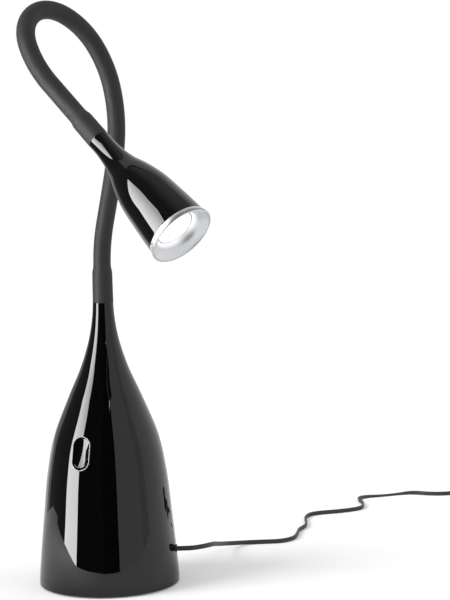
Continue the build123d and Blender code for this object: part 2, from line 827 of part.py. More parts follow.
# ---- leads that the housings hold -------------------------------------------------
def base_wiring():
    """The cord's inner end, two leads to the switch, and the lead up into the neck."""
    outward = Vector(cos(radians(entry_azimuth)), sin(radians(entry_azimuth)), 0)
    block_face = terminal_block_x + terminal_block_size[0] / 2
    lead_height = board_top + terminal_block_size[2] / 2
    cord_face = entry_radius + grommet_lip
    inner_cord = swept_wire(
        [
            outward * cord_face + Vector(0, 0, entry_height),
            outward * (clamp_distance - clamp_width) + Vector(0, 0, entry_height),
            Vector(block_face + inner_cord_lead, 0, lead_height),
            Vector(block_face, 0, lead_height),
        ],
        inner_cord_bend,
        cord_width / 2,
    )
    switch_leads = []
    blade_end = -bezel_depth - switch_depth - terminal_length - lead_radius / 2
    for side in (-1, 1):
        end = switch_plane.from_local_coords(Vector(0, side * barrel_length / 4, blade_end))
        foot = board_place(switch_lead_place).position + Vector(0, side * switch_lead_spacing / 2, 0)
        route = [foot, foot + Vector(0, 0, lead_rise), end - Vector(0, 0, switch_lead_drop), end]
        switch_leads.append(swept_wire(route, lead_bend, lead_radius / 2))
    neck_foot = board_place(neck_lead_place).position
    neck_entry = Vector(0, 0, lower_stem_end - neck_lead_drop)
    neck_top = Vector(0, 0, body_height + lower_cuff_length - collar_margin)
    neck_route = [neck_foot, neck_foot + Vector(0, 0, lead_rise), neck_entry, neck_top]
    neck_lead = swept_wire(neck_route, neck_lead_bend, lead_radius)
    return [inner_cord, *switch_leads, neck_lead]


def head_wiring():
    """The lead from the stem to the back of the light."""
    start = collar_margin - upper_cuff_length
    return head_frame * ring(lead_radius, 0, start, pocket_floor)


# ---- cord -------------------------------------------------------------------------
def corner_radii(points):
    """The largest arc that the two runs at each corner allow, by the tangent rule."""
    radii = []
    for before, corner, after in zip(points, points[1:], points[2:]):
        run_in, run_out = corner - before, after - corner
        half_turn = radians(run_in.get_angle(run_out)) / 2
        radii.append(0.45 * min(run_in.length, run_out.length) / tan(half_turn))
    return radii


def cord_tube(name, points):
    """A round tube along the route, whose volume is compared with its length."""
    vectors = [Vector(*point) for point in points]
    radii = corner_radii(vectors)
    path = FilletPolyline(*vectors, radius=radii)
    section = Plane(origin=path @ 0, z_dir=path % 0) * Circle(cord_width / 2)
    tube = sweep(section, path=path)
    share = tube.volume / (pi * (cord_width / 2) ** 2 * path.length)
    print(f"{name}: length {path.length:.1f}, volume share {share:.4f}, tightest bend {min(radii):.1f}")
    print("  bend radii", [round(radius, 1) for radius in radii])
    return tube


def cord_exit():
    """The first run of the cord, straight out of the grommet."""
    face = entry_radius + grommet_lip
    return [
        (reach * cos(radians(entry_azimuth)), reach * sin(radians(entry_azimuth)), entry_height)
        for reach in (face, face + cord_exit_run)
    ]


coil_lift = floor_clearance + tie_thickness + tie_clearance + coil_band_height / 2


def coil_band(growth, corner):
    """The section of the tied turns, grown all round, about its own middle."""
    return RectangleRounded(coil_band_width + 2 * growth, coil_band_height + 2 * growth, corner)


def cord_coil():
    """The outer shape of the tied coil: a ring with a rounded band for its section."""
    section = Plane.XZ * Pos(coil_mean_radius, coil_lift) * coil_band(0, coil_corner)
    return Pos(*coil_centre, 0) * revolve(section, Axis.Z)


def coil_tie():
    """The strap around the coil's band, at the side away from the lamp."""
    strap = coil_band(tie_thickness + tie_clearance, coil_corner + tie_thickness)
    strap -= coil_band(tie_clearance, coil_corner)
    section = Plane.XZ * Pos(coil_mean_radius, coil_lift) * strap
    return Pos(*coil_centre, 0) * Rot(0, 0, tie_azimuth) * revolve(
        section, Axis.Z, degrees(tie_width / coil_mean_radius)
    )


# ---- plug-in adapter, lying on its back with its pins up ---------------------------
adapter_centre = (adapter_start[0] + adapter_length / 2, adapter_start[1])


def adapter_half(bottom, top, outer_edge):
    """One half of the case: an open box whose closed side has rounded edges."""
    plan = RectangleRounded(adapter_length, adapter_width, adapter_corner)
    block = Pos(0, 0, bottom) * extrude(plan, top - bottom)
    block = fillet(block.edges().group_by(Axis.Z)[outer_edge], adapter_edge)
    room_plan = RectangleRounded(
        adapter_length - 2 * adapter_wall, adapter_width - 2 * adapter_wall, adapter_corner - adapter_wall
    )
    low = bottom + adapter_wall if outer_edge == 0 else bottom - 1
    high = top + 1 if outer_edge == 0 else top - adapter_wall
    room = Pos(0, 0, low) * extrude(room_plan, high - low)
    return Pos(*adapter_centre, 0) * (block - room)


def adapter_cover():
    """The back half, which lies on the table and holds the strain relief."""
    cover = adapter_half(floor_clearance, adapter_split, 0)
    way = Pos(adapter_start[0], adapter_start[1], adapter_cord_height) * Rot(0, 90, 0)
    return cover - way * Cylinder(relief_root_radius - 0.8, 4 * adapter_wall)


def pin_places():
    x = adapter_start[0] + adapter_length - pin_offset
    return [(x, adapter_start[1] + side * pin_spacing / 2) for side in (-1, 1)]


def adapter_case():
    """The front half, with a raised boss around each pin."""
    case = adapter_half(adapter_split + 0.1, adapter_height, -1)
    for x, y in pin_places():
        case += Pos(x, y, 0) * ring(pin_radius + 1.6, 0, adapter_height - adapter_wall - 3, adapter_height + 0.8)
        case -= Pos(x, y, 0) * ring(pin_radius + 0.02, 0, adapter_height - 8, adapter_height + 2)
    return case


def adapter_pins():
    """Two round contact pins with domed ends."""
    pins = []
    for x, y in pin_places():
        pin = ring(pin_radius, 0, adapter_height - adapter_wall - 3, adapter_height + pin_length)
        pins.append(Pos(x, y, 0) * fillet(pin.edges().group_by(Axis.Z)[-1], pin_radius * 0.7))
    return pins


def adapter_relief():
    """The tapered strain relief where the cord enters the adapter."""
    cone = Cone(
        relief_root_radius, cord_width / 2 + 0.5, relief_length, align=(Align.CENTER, Align.CENTER, Align.MIN)
    )
    barrel = ring(relief_root_radius - 0.9, 0, -adapter_wall - 1, 0)
    flange = ring(relief_root_radius + 0.6, 0, -adapter_wall - 2, -adapter_wall - 0.2)
    place = Pos(adapter_start[0], adapter_start[1], adapter_cord_height) * Rot(0, -90, 0)
    return place * (cone + barrel + flange)


tail_end = (adapter_start[0] - relief_length, adapter_start[1], adapter_cord_height)

# ---- write the pieces -------------------------------------------------------------
save("base_shell", base_shell() - bezel_seat())
save("base_plate", base_plate())
save("foot_pad", foot_pad())
save("ballast_weight", ballast_weight())
save("plate_screws", *plate_screws())
save("driver_board", driver_board())
save("board_parts", *board_parts())
save("board_screws", *board_screws())
save("cable_grommet", cable_grommet())
save("cord_clamp", cord_clamp())
save("clamp_screws", *clamp_screws())
save("switch_bezel", switch_bezel())
save("switch_body", switch_body())
save("switch_terminals", *switch_terminals())
save("switch_rocker", switch_rocker())
save("base_wiring", *base_wiring())
save("lower_ferrule", lower_ferrule())
save("lower_nut", Pos(0, 0, plug_bottom) * stem_nut())
save("lower_cuff", lower_cuff())

for number, (bend, direction) in enumerate(section_bends, start=1):
    place = bend_plane(frames[number - 1], direction)
    save(f"neck_core_{number:02d}", place * neck_core(bend))
    save(f"neck_sleeve_{number:02d}", place * neck_sleeve(bend))

save("upper_cuff", upper_cuff())
save("upper_ferrule", upper_ferrule())
save("upper_nut", upper_nut())
save("head_shell", head_shell())
save("reflector_ring", reflector_ring())
save("lens", lens())
save("heat_sink", heat_sink())
save("led_board", led_board())
save("led_chip", led_chip())
save("led_screws", *led_screws())
save("head_wiring", head_wiring())

coil = cord_coil()
save("power_cord", cord_tube("power cord", [*cord_exit(), *cord_route]) - coil)
save("cord_tail", cord_tube("cord tail", [*tail_route, tail_end]) - coil)
save("cord_coil", coil)
save("coil_tie", coil_tie())
save("adapter_cover", adapter_cover())
save("adapter_case", adapter_case())
save("adapter_pins", *adapter_pins())
save("adapter_relief", adapter_relief())

# ---- what a person needs to place joints and looks ---------------------------------
print("nodes", node_count)
for number, frame in enumerate(frames, start=1):
    axis = joint_axis(number, frame)
    print(f"neck_joint_{number:02d}", [round(v, 4) for v in (*frame.origin, *axis)])
print("rocker_joint", [round(v, 4) for v in (*rocker_pivot.position, *switch_side)])
print("head_frame", [round(v, 4) for v in (*head_frame.origin, *head_frame.x_dir, *head_frame.z_dir)])
print("ring_front", ring_front, "lens_front", lens_front)
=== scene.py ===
import json
from bisect import bisect
from math import acos, atan2, cos, hypot, pi, radians, sin

import bmesh
import bpy
from mathutils import Matrix, Vector


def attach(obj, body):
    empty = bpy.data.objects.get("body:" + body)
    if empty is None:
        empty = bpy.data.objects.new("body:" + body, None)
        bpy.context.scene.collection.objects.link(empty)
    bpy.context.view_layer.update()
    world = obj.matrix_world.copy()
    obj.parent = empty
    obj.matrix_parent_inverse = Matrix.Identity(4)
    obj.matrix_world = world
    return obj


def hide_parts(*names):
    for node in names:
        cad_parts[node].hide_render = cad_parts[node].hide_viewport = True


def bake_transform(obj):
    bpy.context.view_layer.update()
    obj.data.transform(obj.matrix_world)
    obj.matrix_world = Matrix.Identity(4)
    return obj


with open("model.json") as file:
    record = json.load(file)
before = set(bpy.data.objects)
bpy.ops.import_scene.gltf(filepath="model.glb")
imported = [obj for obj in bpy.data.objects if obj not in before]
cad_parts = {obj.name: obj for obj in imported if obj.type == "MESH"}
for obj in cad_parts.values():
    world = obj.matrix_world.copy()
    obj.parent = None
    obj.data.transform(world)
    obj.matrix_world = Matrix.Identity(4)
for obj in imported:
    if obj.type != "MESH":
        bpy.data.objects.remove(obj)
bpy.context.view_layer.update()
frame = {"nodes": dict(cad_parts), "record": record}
scene = bpy.context.scene


# sizes are in millimetres, which millimetre turns into Blender's metres; the studio's are in metres
millimetre = 0.001


def point(x, y, z):
    return Vector((x, y, z)) * millimetre


def meshPiece(name, rings, closed=True, caps=(False, False), smooth=True, looped=False):
    # a skin over rings of points that each have as many points; caps close its ends,
    # and looped joins the last ring to the first
    mesh = bpy.data.meshes.new(name)
    built = bmesh.new()
    rows = [[built.verts.new(p) for p in ring] for ring in rings]
    if looped:
        rows.append(rows[0])
    count = len(rings[0])
    for low, high in zip(rows, rows[1:]):
        for i in range(count if closed else count - 1):
            j = (i + 1) % count
            built.faces.new((low[i], low[j], high[j], high[i]))
    if caps[0]:
        built.faces.new(list(reversed(rows[0])))
    if caps[1]:
        built.faces.new(rows[-1])
    bmesh.ops.remove_doubles(built, verts=built.verts, dist=1e-6)
    bmesh.ops.recalc_face_normals(built, faces=built.faces)
    built.to_mesh(mesh)
    built.free()
    for face in mesh.polygons:
        face.use_smooth = smooth
    piece = bpy.data.objects.new(name, mesh)
    scene.collection.objects.link(piece)
    return piece


def turnedPiece(name, profile, place=Matrix(), segments=128, closed=True):
    # an outline of (radius, height) turned about Z, then set in place
    rings = []
    for i in range(segments):
        a = 2 * pi * i / segments
        rings.append([place @ point(r * cos(a), r * sin(a), z) for r, z in profile])
    return meshPiece(name, rings, closed=closed, looped=True)


def sharpEdges(piece, angle=32):
    # edges that turn by more than the angle stay crisp
    piece.data.set_sharp_from_angle(angle=radians(angle))
    return piece


def applied(piece):
    # the mesh with its modifiers in it
    graph = bpy.context.evaluated_depsgraph_get()
    mesh = bpy.data.meshes.new_from_object(piece.evaluated_get(graph))
    piece.modifiers.clear()
    piece.data = mesh
    return piece


def cutBy(piece, *cutters):
    for cutter in cutters:
        cut = piece.modifiers.new("cut", "BOOLEAN")
        cut.operation = "DIFFERENCE"
        cut.solver = "EXACT"
        cut.object = cutter
    applied(piece)
    for cutter in cutters:
        bpy.data.objects.remove(cutter)
    return piece


def worn(piece, material):
    piece.data.materials.clear()
    piece.data.materials.append(material)
    return piece


# outlines are the same smooth curves that the solids have
def outlineRows(startRadius, startHeight, bands):
    rows = [(startRadius, startHeight)]
    for radius, height in bands:
        rows.append((radius, rows[-1][1] + height))
    return rows


def outlineLeans(rows):
    leans, lengths = [], []
    for (lowRadius, low), (highRadius, high) in zip(rows, rows[1:]):
        leans.append(atan2(lowRadius - highRadius, high - low))
        lengths.append(hypot(lowRadius - highRadius, high - low))
    inner = [
        (leans[i] * lengths[i + 1] + leans[i + 1] * lengths[i]) / (lengths[i] + lengths[i + 1])
        for i in range(len(leans) - 1)
    ]
    return [2 * leans[0] - inner[0], *inner, 2 * leans[-1] - inner[-1]]


def smoothOutline(rows, inset=0.0, step=1.5):
    # points along the curve through the rows, moved inwards by inset
    leans = outlineLeans(rows)
    knots = [
        (r - inset * cos(lean), z - inset * sin(lean), -sin(lean), cos(lean))
        for (r, z), lean in zip(rows, leans)
    ]
    points = []
    for (r0, z0, dr0, dz0), (r1, z1, dr1, dz1) in zip(knots, knots[1:]):
        length = hypot(r1 - r0, z1 - z0)
        count = max(2, round(length / step))
        for i in range(count):
            t = i / count
            a, b = 2 * t**3 - 3 * t**2 + 1, t**3 - 2 * t**2 + t
            c, d = 3 * t**2 - 2 * t**3, t**3 - t**2
            points.append((
                a * r0 + b * length * dr0 + c * r1 + d * length * dr1,
                a * z0 + b * length * dz0 + c * z1 + d * length * dz1,
            ))
    points.append(knots[-1][:2])
    return points


def rounded(corner, before, after, radius, steps=5):
    # a corner of an outline, rounded off between its two neighbours
    corner, before, after = Vector(corner), Vector(before), Vector(after)
    reach = min(radius, (before - corner).length * 0.49, (after - corner).length * 0.49)
    start = corner + (before - corner).normalized() * reach
    end = corner + (after - corner).normalized() * reach
    points = []
    for i in range(steps + 1):
        t = i / steps
        p = start * (1 - t) ** 2 + corner * 2 * t * (1 - t) + end * t**2
        points.append((p.x, p.y))
    return points


class Wire:
    # one socket of a material's graph, which can be added, multiplied and so on
    def __init__(self, graph, socket):
        self.graph = graph
        self.socket = socket

    def join(self, operation, first, second):
        return self.graph.node("ShaderNodeMath", {"operation": operation}, {0: first, 1: second})

    def __add__(self, other):
        return self.join("ADD", self, other)

    def __radd__(self, other):
        return self.join("ADD", other, self)

    def __sub__(self, other):
        return self.join("SUBTRACT", self, other)

    def __rsub__(self, other):
        return self.join("SUBTRACT", other, self)

    def __mul__(self, other):
        return self.join("MULTIPLY", self, other)

    def __rmul__(self, other):
        return self.join("MULTIPLY", other, self)

    def above(self, edge, softness=0.0001):
        # 1 above the edge and 0 below it
        return self.graph.node(
            "ShaderNodeMapRange", {"interpolation_type": "SMOOTHSTEP"},
            {"Value": self, "From Min": edge - softness, "From Max": edge + softness},
        )

    def most(self, other):
        return self.join("MAXIMUM", self, other)


class Graph:
    # a material or world whose nodes are made by one method
    def __init__(self, name, owner=None):
        self.owner = owner or bpy.data.materials.new(name)
        self.owner.use_nodes = True
        self.tree = self.owner.node_tree
        self.tree.nodes.clear()

    def node(self, kind, settings=None, values=None, output=0):
        made = self.tree.nodes.new(kind)
        for key, value in (settings or {}).items():
            setattr(made, key, value)
        for key, value in (values or {}).items():
            socket = made.inputs[key]
            if isinstance(value, Wire):
                self.tree.links.new(value.socket, socket)
            elif socket.type == "RGBA":
                socket.default_value = (*value, 1)
            else:
                socket.default_value = value
        return Wire(self, made.outputs[output]) if made.outputs else None

    def place(self):
        return self.node("ShaderNodeTexCoord", output="Object")

    def vectors(self, operation, first, second=(0, 0, 0), output="Vector"):
        return self.node("ShaderNodeVectorMath", {"operation": operation}, {0: first, 1: second}, output)

    def noise(self, scale, detail=3.0, roughness=0.5):
        values = {"Vector": self.place(), "Scale": scale, "Detail": detail, "Roughness": roughness}
        return self.node("ShaderNodeTexNoise", None, values, "Fac")

    def range(self, value, low, high, fromLow=0.0, fromHigh=1.0):
        values = {"Value": value, "From Min": fromLow, "From Max": fromHigh, "To Min": low, "To Max": high}
        return self.node("ShaderNodeMapRange", None, values)

    def mixed(self, share, first, second):
        # by number, because the sockets for numbers and for colours have the same names
        return self.node("ShaderNodeMix", {"data_type": "RGBA"}, {0: share, 6: first, 7: second}, 2)

    def bump(self, height, strength, distance):
        values = {"Height": height, "Strength": strength, "Distance": distance}
        return self.node("ShaderNodeBump", None, values)

    def finish(self, surface):
        kind = "World" if isinstance(self.owner, bpy.types.World) else "Material"
        self.node("ShaderNodeOutput" + kind, None, {"Surface": surface})
        return self.owner

    def surface(self, **values):
        # the usual surface: keys are its socket names, with spaces written as underscores
        named = {key.replace("_", " "): value for key, value in values.items()}
        return self.finish(self.node("ShaderNodeBsdfPrincipled", None, named))


def glossBlack(name, colour, wave):
    # polished plastic: hardly any haze, and the faintest waviness
    g = Graph(name)
    fine = g.noise(900.0, 2.0)
    broad = g.noise(14.0, 2.0)
    return g.surface(
        Base_Color=g.mixed(g.noise(60.0, 4.0), colour, [c * 1.6 for c in colour]),
        Roughness=g.range(broad, 0.008, 0.02) + g.range(fine, 0.0, 0.008),
        Normal=g.bump(g.noise(60.0, 2.0), wave, 0.0001),
        IOR=1.5,
    )


def softRubber(name, dark, light, grain=1400.0, rough=0.55, depth=0.25, fleck=0.3):
    g = Graph(name)
    mottle = g.noise(55.0, 4.0, 0.6)
    speck = g.noise(grain, 3.0, 0.6)
    return g.surface(
        Base_Color=g.mixed(mottle * (1 - fleck) + speck * fleck, dark, light),
        Roughness=g.range(speck, rough - 0.06, rough + 0.1),
        Normal=g.bump(speck, depth, 0.0001),
        IOR=1.45,
    )


def metal(name, dark, light, rough, grain=700.0, depth=0.05):
    g = Graph(name)
    lines = g.noise(grain, 3.0, 0.6)
    cloud = g.noise(30.0, 3.0)
    return g.surface(
        Base_Color=g.mixed(cloud, dark, light),
        Metallic=1.0,
        Roughness=g.range(lines, rough * 0.8, rough * 1.3),
        Normal=g.bump(lines, depth, 0.0001),
    )


def moulded(name, dark, light, rough=0.45, grain=1100.0, depth=0.3):
    g = Graph(name)
    texture = g.noise(grain, 2.0, 0.5)
    return g.surface(
        Base_Color=g.mixed(g.noise(40.0, 3.0), dark, light),
        Roughness=g.range(texture, rough - 0.05, rough + 0.12),
        Normal=g.bump(texture, depth, 0.00012),
        IOR=1.48,
    )


def circuitBoard(name, mask, track):
    g = Graph(name)
    grid = g.node(
        "ShaderNodeTexBrick", {"offset": 0.35},
        {
            "Vector": g.place(), "Scale": 160.0, "Mortar Size": 0.03,
            "Color1": mask, "Color2": track, "Mortar": track,
        },
        "Color",
    )
    return g.surface(
        Base_Color=g.mixed(g.noise(300.0) * 0.5, grid, mask),
        Roughness=g.range(g.noise(500.0), 0.25, 0.4),
        Normal=g.bump(g.noise(220.0), 0.2, 0.0002),
    )


def awayFromAxis(g):
    # how far a point of the head's surface is from the head's axis
    fromRoot = g.vectors("SUBTRACT", g.place(), headPlace.translation)
    across = g.vectors("CROSS_PRODUCT", fromRoot, headPlace.col[2].xyz)
    return g.vectors("LENGTH", across, output="Value")


def litLens(name):
    # it glows white, up to a narrow unlit rim
    g = Graph(name)
    ripple = g.noise(500.0, 2.0)
    rim = awayFromAxis(g).above(mouth["lit"] * millimetre)
    glow = g.mixed(g.noise(25.0), (1.0, 0.985, 0.95), (1.0, 1.0, 0.985))
    return g.surface(
        Base_Color=g.mixed(rim, (0.92, 0.92, 0.9), (0.03, 0.03, 0.03)),
        Roughness=g.range(ripple, 0.35, 0.45),
        Normal=g.bump(ripple, 0.1, 0.0002),
        Emission_Color=g.mixed(rim, glow, (0.3, 0.29, 0.28)),
        Emission_Strength=mouth["glow"],
    )


def reflectorSilver(name):
    # vacuum plated plastic with a satin haze, with painted dark lines on both edges of its lip that stand in
    # for shade and dark reflections, and a painted glow round the lens that stands in for the lens's light
    # spilling onto it
    g = Graph(name)
    satin = g.noise(900.0, 3.0, 0.6)
    broad = g.noise(70.0, 2.0)
    away = awayFromAxis(g)
    outer, innerFrom, innerTo, band = [away.above((mouth["lip"] - d) * millimetre) for d in mouth["lipEdges"]]
    # painted shade: the lip's rounded edges are darkened in colour to stand in for the dark things they
    # reflect
    paintedDarkLines = outer.most(innerFrom - innerTo)
    silver = g.mixed(broad, (0.74, 0.755, 0.775), (0.8, 0.815, 0.835))
    # a painted glow: emission that stands in for the lens's light spilling onto the bowl round the lens
    paintedLensGlow = g.range(away, 1.0, 0.0, mouth["sight"] * millimetre, mouth["bowl"] * millimetre)
    return g.surface(
        Base_Color=g.mixed(paintedDarkLines, silver, (0.4, 0.41, 0.42)),
        Emission_Color=g.mixed(paintedLensGlow, (0.0, 0.0, 0.0), (0.6, 0.59, 0.57)),
        Emission_Strength=1.0,
        Metallic=1.0,
        Roughness=g.range(satin, 0.42, 0.52) - band * 0.05,
        Normal=g.bump(satin, 0.03, 0.0001),
    )


finishes = {
    "black_gloss": glossBlack("blackGloss", (0.0009, 0.0009, 0.001), 0.008),
    "rocker_black": glossBlack("rockerBlack", (0.0011, 0.0011, 0.0012), 0.008),
    "chrome_trim": metal("chromeTrim", (0.13, 0.13, 0.135), (0.16, 0.16, 0.165), 0.12),
    "zinc_steel": metal("zincSteel", (0.46, 0.46, 0.46), (0.6, 0.6, 0.62), 0.34, 500.0, 0.1),
    "ballast_iron": metal("ballastIron", (0.09, 0.09, 0.09), (0.14, 0.14, 0.14), 0.6, 260.0, 0.5),
    "foot_rubber": softRubber("footRubber", (0.02, 0.02, 0.021), (0.035, 0.035, 0.036), 900.0, 0.75),
    "board_green": circuitBoard("boardGreen", (0.01, 0.09, 0.04), (0.02, 0.16, 0.07)),
    "board_white": circuitBoard("boardWhite", (0.75, 0.75, 0.73), (0.55, 0.53, 0.45)),
    "part_black": moulded("partBlack", (0.018, 0.018, 0.018), (0.03, 0.03, 0.031)),
    "nylon": moulded("naturalNylon", (0.62, 0.6, 0.54), (0.72, 0.7, 0.64)),
    "brass_tab": metal("brassTab", (0.62, 0.47, 0.22), (0.74, 0.58, 0.3), 0.3),
    "wire_black": softRubber("wireBlack", (0.014, 0.014, 0.015), (0.026, 0.026, 0.027), 1600.0, 0.45),
    "neck_silicone": softRubber(
        "neckSilicone", (0.001, 0.001, 0.0012), (0.033, 0.033, 0.0335), 700.0, 0.62, 0.7, 0.75,
    ),
    "raw_aluminium": metal("rawAluminium", (0.5, 0.51, 0.52), (0.66, 0.67, 0.68), 0.28, 600.0, 0.1),
    "led_phosphor": moulded("ledPhosphor", (0.85, 0.66, 0.16), (0.92, 0.76, 0.25), 0.3),
    "cord_rubber": softRubber("cordRubber", (0.022, 0.022, 0.023), (0.04, 0.04, 0.041), 1300.0, 0.5),
    "adapter_black": moulded("adapterBlack", (0.014, 0.014, 0.015), (0.024, 0.024, 0.025), 0.5, 1500.0, 0.5),
    "pin_nickel": metal("pinNickel", (0.6, 0.59, 0.56), (0.72, 0.71, 0.68), 0.16),
}
print("finishes", len(finishes))

camera = {
    "place": (86.6, -1180.0, 283.6),
    "pitch": 3.994,  # degrees down
    "roll": -1.15,
    "lens": 100.0,
    "sensor": 36.0,  # its height
}


def makeCamera():
    data = bpy.data.cameras.new("camera")
    made = bpy.data.objects.new("camera", data)
    scene.collection.objects.link(made)
    data.sensor_fit = "VERTICAL"
    data.sensor_height = camera["sensor"]
    data.lens = camera["lens"]
    data.clip_start = 0.02
    made.location = point(*camera["place"])
    level = Matrix.Rotation(radians(90 - camera["pitch"]), 4, "X")
    made.rotation_euler = (level @ Matrix.Rotation(radians(camera["roll"]), 4, "Z")).to_euler()
    scene.camera = made


makeCamera()

base = {
    "footRadius": 49.9,
    "footEdge": 1.0,
    "footBand": 5.0,
    "bands": [
        (48.8, 14.0), (45.8, 30.0), (42.6, 30.0), (38.0, 24.0),
        (26.4, 30.0), (16.0, 24.0), (9.7, 22.0), (7.35, 21.3),
    ],
    "wall": 2.5,
    "plug": 29.0,
    "bore": 5.05,
}
# the neck's line: a straight cuff, ten arcs, a straight cuff, and then the head
neck = {
    "section": 31.5,
    "bends": [
        (17, -46), (4, -98), (9, 145), (15, 159), (20, -158),
        (37, -129), (57, -118), (52, -109), (21, -79), (12, 34),
    ],
    "sleeve": 6.2,
    "bore": 4.8,
    "cuffBore": 5.7,
    "cuff": 7.1,
    "lowerCuff": 26.0,
    "upperCuff": 24.0,
    "taper": 5.0,
    "cuffLap": 8.0,  # how far the sleeve's end lengths run over the cuffs
    "bendReach": 12.0,  # how far on both sides of each inner pivot the neck's place is found
    "headRoot": 7.2,
}
baseRows = outlineRows(base["footRadius"], base["footEdge"] + base["footBand"], base["bands"])
bodyHeight = baseRows[-1][1]


def bentPlace(place, bend, direction, length):
    # the frame at the end of an arc that starts in place and bends the way direction says
    turn = Matrix.Rotation(radians(direction), 4, "Z")
    radius = length / radians(bend)
    shift = point(radius * (1 - cos(radians(bend))), 0, radius * sin(radians(bend)))
    return place @ turn @ Matrix.Translation(shift) @ Matrix.Rotation(radians(bend), 4, "Y") @ turn.inverted()


pivots = [Matrix.Translation(point(0, 0, bodyHeight + neck["lowerCuff"]))]
for bendAngle, bendWay in neck["bends"]:
    pivots.append(bentPlace(pivots[-1], bendAngle, bendWay, neck["section"]))
headPlace = pivots[-1] @ Matrix.Translation(point(0, 0, neck["upperCuff"]))


def neckPlace(length):
    # the frame at a length along the neck, counted from the first pivot
    if length <= 0:
        return pivots[0] @ Matrix.Translation(point(0, 0, length))
    number = int(length // neck["section"])
    if number >= len(neck["bends"]):
        return pivots[-1] @ Matrix.Translation(point(0, 0, length - len(neck["bends"]) * neck["section"]))
    rest = length - number * neck["section"]
    if rest < 1e-6:
        return pivots[number]
    bend, way = neck["bends"][number]
    return bentPlace(pivots[number], bend * rest / neck["section"], way, rest)


# one line from the base to the adapter
cord = {
    "width": 3.5,
    "thickness": 1.8,
    "clear": 0.05,  # between the cord and what it lies on
    "exit": (48.63, -5.11, 24.5),
    "route": [
        (57.58, -6.05, 24.6), (65.8, -2.9, 24.9), (71.3, 3.7, 24.6), (74.9, 18.3, 22.2),
        (77.1, 40.0, 17.5), (79.4, 62.5, 12.4), (82.4, 84.0, 7.9), (87.3, 101.5, 4.2), (98.0, 114.0, 1.9),
        (114.0, 116.0, 1.8), (128.0, 117.0, 1.8), (138.3, 128.0, 1.8), (141.4, 146.0, 1.8),
        (142.9, 160.0, 1.8), (148.6, 171.0, 1.8), (150.6, 186.0, 1.8), (149.8, 206.0, 1.8),
        (156.2, 225.0, 1.8),
        (180.5, 231.3, 1.8), (196.5, 240.0, 1.8), (203.0, 248.8, 1.8), (204.2, 267.6, 1.8),
        (200.6, 284.6, 1.8), (207.2, 297.8, 1.4), (226.0, 303.0, 0.95), (240.0, 309.5, 1.0),
        (253.0, 311.5, 1.8), (269.0, 302.0, 1.8), (286.0, 302.5, 1.8), (301.0, 312.0, 2.2),
        (314.0, 321.5, 2.7),
    ],
    "coilCentre": (325.0, 301.0),
    "coilRadius": 20.0,
    "columns": 5,
    "pitch": 1.9,
    "rows": (2.7, 6.2),
    "pointsPerTurn": 12,
    "coilStart": 88.0,  # degrees round the coil, where the cord comes in and leaves
    "jog": 0.4,  # the share of a turn in which it moves over to the next one
    "tail": [
        (332.0, 323.5, 5.8), (343.0, 319.5, 6.6), (353.5, 313.0, 8.0), (363.5, 311.0, 9.0),
        (375.0, 311.0, 9.0),
    ],
    "length": 1.8,  # metres
    "lobeArc": 110,  # degrees that each lobe goes round on either side of its middle
}


def coilPoints():
    # clockwise turns: inwards along the bottom row, up, and outwards along the top row
    centreX, centreY = cord["coilCentre"]
    low, high = cord["rows"]
    count, turns = cord["pointsPerTurn"], 2 * cord["columns"]
    widest = cord["coilRadius"] + (cord["columns"] - 1) / 2 * cord["pitch"]
    points = []
    for i in range(turns * count + 1):
        share = i / count % 1
        at = min(i // count + max(0, share - 1 + cord["jog"]) / cord["jog"], turns - 1)
        column = min(at, turns - 1 - at, cord["columns"] - 1)
        radius = (widest - cord["pitch"] * column) / cos(pi / count)
        height = low + (high - low) * min(max(at - cord["columns"] + 1, 0), 1)
        angle = radians(cord["coilStart"] - 360 / count * i)
        points.append((centreX + radius * cos(angle), centreY + radius * sin(angle), height))
    return points


def cordPath():
    # the points of one smooth spline whose control points are the route
    points = [cord["exit"], *cord["route"], *coilPoints(), *cord["tail"]]
    data = bpy.data.curves.new("cordPath", "CURVE")
    data.dimensions = "3D"
    line = data.splines.new("NURBS")
    line.points.add(len(points) - 1)
    for p, place in zip(line.points, points):
        p.co = (*point(*place), 1)
    line.order_u = 3
    line.use_endpoint_u = True
    line.resolution_u = 6
    guide = bpy.data.objects.new("cordPath", data)
    mesh = bpy.data.meshes.new_from_object(guide)
    path = [v.co.copy() for v in mesh.vertices]
    bpy.data.objects.remove(guide)
    bpy.data.curves.remove(data)
    bpy.data.meshes.remove(mesh)
    return path


def makeCord():
    # a flat twin lead that stands on edge, and lies over where it comes down lower than that
    path = cordPath()
    lobe = cord["thickness"] / 2
    reach = (cord["width"] - cord["thickness"]) / 2
    section = [
        (side * (reach + lobe * cos(radians(a))), side * lobe * sin(radians(a)))
        for side in (1, -1) for a in range(-cord["lobeArc"], cord["lobeArc"] + 1, 22)
    ]
    rings = []
    for i, spot in enumerate(path):
        along = (path[min(i + 1, len(path) - 1)] - path[max(i - 1, 0)]).normalized()
        across = Vector((0, 0, 1)).cross(along).normalized()
        upright = along.cross(across)
        rise = (spot.z / millimetre - cord["clear"] - lobe) / reach
        tilt = acos(min(max(rise, 0), 1))
        wide = upright * cos(tilt) + across * sin(tilt)
        thin = along.cross(wide)
        rings.append([spot + (wide * x + thin * y) * millimetre for x, y in section])
    piece = meshPiece("powerCord", rings, caps=(True, True))
    sharpEdges(piece, 60)
    worn(piece, finishes["cord_rubber"])
    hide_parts("power_cord", "cord_coil", "cord_tail")
    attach(piece, "base")


makeCord()
print("cord made")


switch = {
    "azimuth": -112.5,
    "height": 99.0,
    "length": 24.5,
    "width": 14.0,
    "band": 1.0,
    "proud": 0.8,
    "depth": 1.6,
    "gap": 0.3,
    "pivotDepth": 4.0,
    "dish": 1.35,
    "lean": 6.0,
    "thick": 5.6,
    "openingLap": 0.2,  # how much smaller the shell's opening is than the bright ring
    "openingFrom": -9.0,
    "openingTo": 6.0,
}
cordHole = {"azimuth": -6.0, "height": 24.5, "seat": 3.05, "cut": 6.0, "sides": 40}


